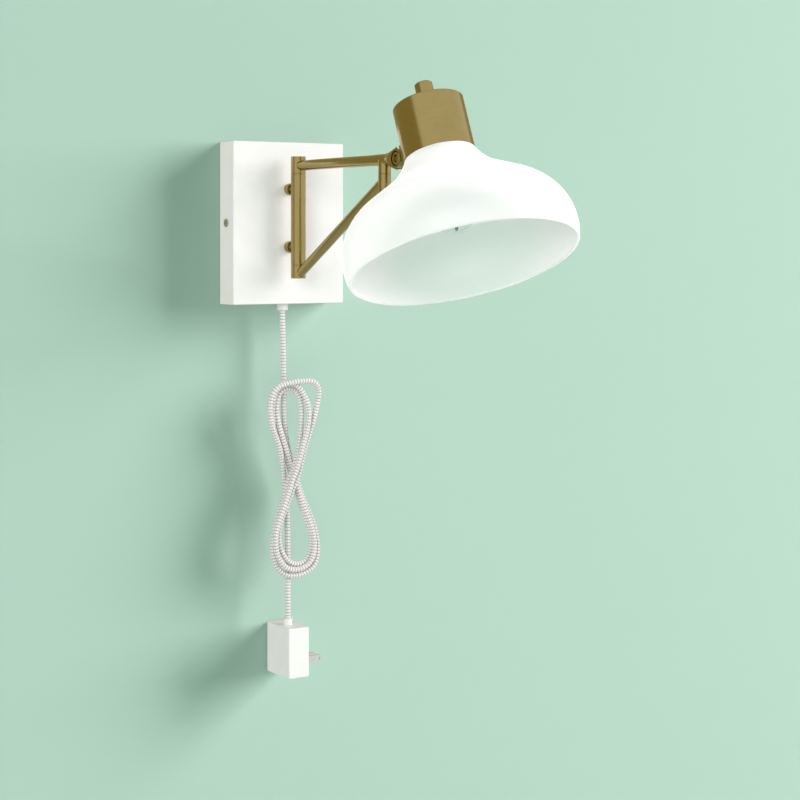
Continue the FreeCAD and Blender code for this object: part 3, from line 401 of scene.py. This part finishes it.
def textile(name):
    """White braided sleeve in rings of stitches, with painted grey shade in the valleys between them
    and fine grey flecks.
    """
    s = Shader(name, Roughness=0.9)
    split = s.node("ShaderNodeSeparateXYZ")
    s.join(s.node("ShaderNodeUVMap", uv_map="uv").outputs["UV"], split.inputs["Vector"])
    along = s.compute("MULTIPLY", split.outputs["Y"], math.pi / BRAID_PITCH)
    around = s.compute("MULTIPLY", split.outputs["X"], math.pi * BRAID_STRANDS)
    ring = s.compute("ABSOLUTE", s.compute("SINE", along))
    stitch = s.compute("ABSOLUTE", s.compute("COSINE", around))
    # Painted shade: the colour follows the weave, grey in the valleys between rings and stitches,
    # with a speckle of flecks added.
    share = s.compute("ADD", s.compute("MULTIPLY", stitch, COLOUR_STITCH), 1 - COLOUR_STITCH)
    weave = s.compute("MULTIPLY", ring, share)
    speckle = s.compute("MULTIPLY", s.noise(scale=700.0, detail=2.0), 0.3)
    valley_shade_and_flecks = s.compute("ADD", s.compute("MULTIPLY", weave, 0.8), speckle)
    s.colours(valley_shade_and_flecks, (0.2, CORD_VALLEY_SHADE), (0.5, CORD_MIDDLE), (0.9, CORD_LIGHT))
    s.bump(weave, depth=0.0002, strength=0.5)
    return s.material


def opal(name):
    """Opal glass: milky, a little clearer where it is seen straight on, with a smooth skin."""
    s = Shader(
        name, IOR=1.45, Sheen_Weight=1.0, Sheen_Roughness=0.4,
        Subsurface_Weight=0.3, Subsurface_Scale=0.01, Subsurface_Radius=(1.0, 0.95, 0.9),
    )
    s.mottle(s.noise(scale=14.0), (248, 250, 248), (252, 253, 252))
    s.rough(s.noise(scale=40.0, detail=2.0), low=0.4, high=0.5)
    facing = s.node("ShaderNodeLayerWeight")
    facing.inputs["Blend"].default_value = 0.5
    clear = s.span(facing.outputs["Facing"], low=0.7, high=0.0, start=0.12, end=0.6)
    s.join(clear, s.surface.inputs["Transmission Weight"])
    s.bump(s.noise(scale=45.0, detail=1.0), depth=0.00002)
    return s.material


def glass(name, tint, rough=0.02):
    """Clear glass with a faint tint."""
    s = Shader(name, Transmission_Weight=1.0, IOR=1.45)
    s.mottle(s.noise(scale=30.0, detail=2.0), tint, (252, 254, 253))
    s.rough(s.noise(scale=60.0, detail=2.0), rough, rough + 0.02)
    return s.material


def metal(name, light, dark, rough=(0.2, 0.35), scale=400.0):
    """Plain metal with a fine grain."""
    s = Shader(name, Metallic=1.0)
    grain = s.noise(scale, detail=4.0)
    s.mottle(grain, dark, light)
    s.rough(grain, *rough)
    s.bump(grain)
    return s.material


def dress(material, *names):
    """Puts a material on nodes of the frame."""
    for name in names:
        node = NODES[name]
        if not node.material_slots:
            node.data.materials.append(material)
        for slot in node.material_slots:
            slot.material = material


FINE, COARSE = 5200.0, 60.0  # noise scales across the brushing and along it
BRACE_SLOPE = -31.4  # degrees
HEAD_TILT = 22.5

dress(moulded("white_enamel", WHITE, OFF_WHITE, rough=(0.34, 0.44)), "cover")
dress(
    moulded("plug_plastic", WHITE, OFF_WHITE, rough=(0.3, 0.4)),
    "plug_body", "plug_relief", "cord_gland", "gland_nut",
)
dress(
    brass("brass_upright", (FINE, FINE, COARSE)),
    "mast_tube", "mast_rod", "post_stud", "brace_post",
)
dress(
    brass("brass_turned", (COARSE, COARSE, FINE)),
    "upper_collar", "lower_collar", "seam_washers",
)
dress(
    brass("brass_reach", (FINE, COARSE, FINE)),
    "arm_tube", "outer_tee", "knuckle_yoke",
    "standoff_upper", "standoff_lower", "standoff_washers", "standoff_nuts",
)
dress(brass("brass_brace", (FINE, COARSE, FINE), turn=(BRACE_SLOPE, 0, 0)), "brace_tube")
dress(
    brass("brass_head", (COARSE, COARSE, FINE), turn=(HEAD_TILT, 0, 0)),
    "socket_cup", "tilt_lug", "switch_knob", "lug_screws",
)
dress(
    brass("brass_screw", (FINE, COARSE, COARSE)),
    "tilt_screw", "tilt_nut", "friction_washers",
)
dress(
    metal("zinc_steel", (196, 198, 200), (184, 186, 189), scale=1600.0),
    "side_screws", "mounting_bracket", "knob_shaft", "switch_nut",
)
dress(metal("green_screw", (60, 130, 80), (40, 100, 60)), "ground_screw")
dress(metal("blade_nickel", (228, 221, 222), (218, 211, 212), rough=(0.35, 0.5)), "plug_blades")
dress(metal("contact_brass", (205, 180, 120), (180, 155, 95)), "centre_contact")
dress(metal("shell_nickel", (200, 196, 188), (165, 160, 152)), "screw_shell", "bulb_cap")
dress(opal("opal_glass"), "shade")
dress(glass("clear_glass", (246, 250, 248)), "bulb_glass")
dress(glass("stem_glass", (235, 240, 238), rough=0.1), "bulb_stem")
dress(metal("filament", (96, 92, 88), (70, 66, 62)), "bulb_filament")
dress(moulded("holder_white", (240, 240, 236), (228, 228, 224)), "lampholder", "shade_ring")
dress(moulded("switch_black", (28, 28, 28), (20, 20, 20)), "rotary_switch")
dress(
    moulded("wire_insulation", (34, 34, 36), (26, 26, 28)),
    "supply_wires", "lamp_wires", "arm_wires", "head_wires",
)
dress(moulded("connector_yellow", (232, 190, 40), (214, 170, 30)), "wire_connectors")
cord.data.materials.append(textile("cord_textile"))


# ---------------------------------------------------------------- backdrop, floor and lights
WALL_Y = 0.0006  # just clear of the lamp's back
FLOOR_Z = -0.95
ROOM_SIDE = 4.0
ROOM_TOP = 3.0
FLOOR_FRONT, FLOOR_BACK = -5.0, 2.0
WALL_COLOUR, FLOOR_COLOUR = (175, 207, 190), (224, 232, 226)

KEY_COLOUR, FILL_COLOUR = (1.0, 0.9, 0.94), (1.0, 0.95, 0.97)
KEY_AIM, FILL_AIM = (0, 0, -0.1), (0, -0.2, 0)
HEAD_NODES = ("shade", "bulb_glass", "lampholder", "shade_ring")
# Name, place, aim, diameter in metres, watts, colour, and which of the lit sets it lights.
LIGHTS = [
    ("key_level", (12.2, -3.6, 1.9), KEY_AIM, 5.2, 2040.0, KEY_COLOUR, "lit_wall"),
    ("key_high", (11.3, -3.6, 6.0), KEY_AIM, 5.2, 2040.0, KEY_COLOUR, "lit_wall"),
    ("key_lamp", (3.7, -2.8, 1.6), KEY_AIM, 3.6, 192.0, KEY_COLOUR, "lit_lamp"),
    ("fill_left", (-2.6, -2.2, 0.9), FILL_AIM, 2.0, 62.0, FILL_COLOUR, "lit_lamp"),
    ("fill_head", (-1.6, -2.8, 0.4), FILL_AIM, 2.0, 62.0, FILL_COLOUR, "lit_head"),
    ("fill_low", (-0.6, -1.9, -1.7), FILL_AIM, 1.6, 235.0, FILL_COLOUR, "lit_head"),
]

ROOM_FRONT, ROOM_BEHIND = (0.28, 0.365, 0.325), (0.38, 0.4, 0.38)
MIRRORED_FRONT, MIRRORED_BEHIND = (1.0, 1.0, 1.0), (0.47, 0.41, 0.2)
EDGE_LEAN = -0.22  # how far the edge between front and behind moves back towards the right
EDGE_START, EDGE_END = -0.02, 0.1


def sheet(name, corners, colour):
    """A flat painted sheet of the stage, as its object and its paint."""
    mesh = mesh_from(name, corners, [(0, 1, 2, 3)])
    obj = bpy.data.objects.new(name, mesh)
    bpy.context.scene.collection.objects.link(obj)
    paint = Shader(
        name + "_paint", Base_Color=linear(colour), Roughness=0.55, Specular_IOR_Level=0.3,
    )
    mesh.materials.append(paint.material)
    return obj, paint


def backdrop():
    """A pale mint wall that shows only from the front, and a plain pale floor."""
    low, high = FLOOR_Z, ROOM_TOP
    wall, paint = sheet("wall", [
        (-ROOM_SIDE, WALL_Y, low), (ROOM_SIDE, WALL_Y, low),
        (ROOM_SIDE, WALL_Y, high), (-ROOM_SIDE, WALL_Y, high),
    ], WALL_COLOUR)
    sheet("floor", [
        (-ROOM_SIDE, FLOOR_FRONT, low), (ROOM_SIDE, FLOOR_FRONT, low),
        (ROOM_SIDE, FLOOR_BACK, low), (-ROOM_SIDE, FLOOR_BACK, low),
    ], FLOOR_COLOUR)
    wall.visible_shadow = False
    wall.visible_diffuse = False
    wall.visible_glossy = False
    pick = paint.node("ShaderNodeMixShader")
    paint.join(paint.node("ShaderNodeNewGeometry").outputs["Backfacing"], pick.inputs["Fac"])
    paint.join(paint.surface.outputs["BSDF"], pick.inputs[1])
    paint.join(paint.node("ShaderNodeBsdfTransparent").outputs["BSDF"], pick.inputs[2])
    paint.join(pick.outputs["Shader"], paint.tree.nodes["Material Output"].inputs["Surface"])


def studio():
    """A soft room. Gloss mirrors it white in front of the wall, and dim and warm behind."""
    world = bpy.data.worlds.new("studio")
    world.use_nodes = True
    room = Graph(world.node_tree)
    split = room.node("ShaderNodeSeparateXYZ")
    room.join(room.node("ShaderNodeTexCoord").outputs["Generated"], split.inputs["Vector"])
    right = room.compute("MAXIMUM", split.outputs["X"], 0.0)
    edge = room.compute("MULTIPLY_ADD", right, EDGE_LEAN, split.outputs["Y"])
    behind = room.span(edge, low=0.0, high=1.0, start=EDGE_START, end=EDGE_END)

    def blend(factor, first, second):
        """A colour node from first to second, which are colours or other nodes' outputs."""
        made = room.node("ShaderNodeMix", data_type="RGBA")
        room.join(factor, made.inputs["Factor"])
        targets = [socket for socket in made.inputs if socket.type == "RGBA"]
        for value, target in zip((first, second), targets):
            if isinstance(value, tuple):
                target.default_value = (*value, 1.0)
            else:
                room.join(value, target)
        return [socket for socket in made.outputs if socket.type == "RGBA"][0]

    mirror = room.node("ShaderNodeLightPath").outputs["Is Glossy Ray"]
    soft = blend(behind, ROOM_FRONT, ROOM_BEHIND)
    mirrored = blend(behind, MIRRORED_FRONT, MIRRORED_BEHIND)
    room.join(blend(mirror, soft, mirrored), room.tree.nodes["Background"].inputs["Color"])
    bpy.context.scene.world = world


def area_light(name, at, towards, size, power, colour, lit):
    data = bpy.data.lights.new(name, "AREA")
    data.shape = "DISK"
    data.size = size
    data.energy = power
    data.color = colour
    light = bpy.data.objects.new(name, data)
    light.location = at
    light.rotation_mode = "QUATERNION"
    light.rotation_quaternion = (Vector(towards) - Vector(at)).to_track_quat("-Z", "Y")
    light.visible_glossy = False
    light.light_linking.receiver_collection = lit
    bpy.context.scene.collection.objects.link(light)


def lighting():
    """Wide lights that graze the wall from the right, a softer one for the lamp, and fills on
    its shaded sides."""
    meshes = [obj for obj in bpy.context.scene.objects if obj.type == "MESH"]
    members = {
        "lit_wall": [obj for obj in meshes if obj.name == "wall"],
        "lit_lamp": [obj for obj in meshes if obj.name != "wall"],
        "lit_head": [NODES[name] for name in HEAD_NODES],
    }
    sets = {}
    for name, objects in members.items():
        sets[name] = bpy.data.collections.new(name)
        for obj in objects:
            sets[name].objects.link(obj)
    for name, at, towards, size, power, colour, lit in LIGHTS:
        area_light(name, at, towards, size, power, colour, sets[lit])


backdrop()
studio()
lighting()
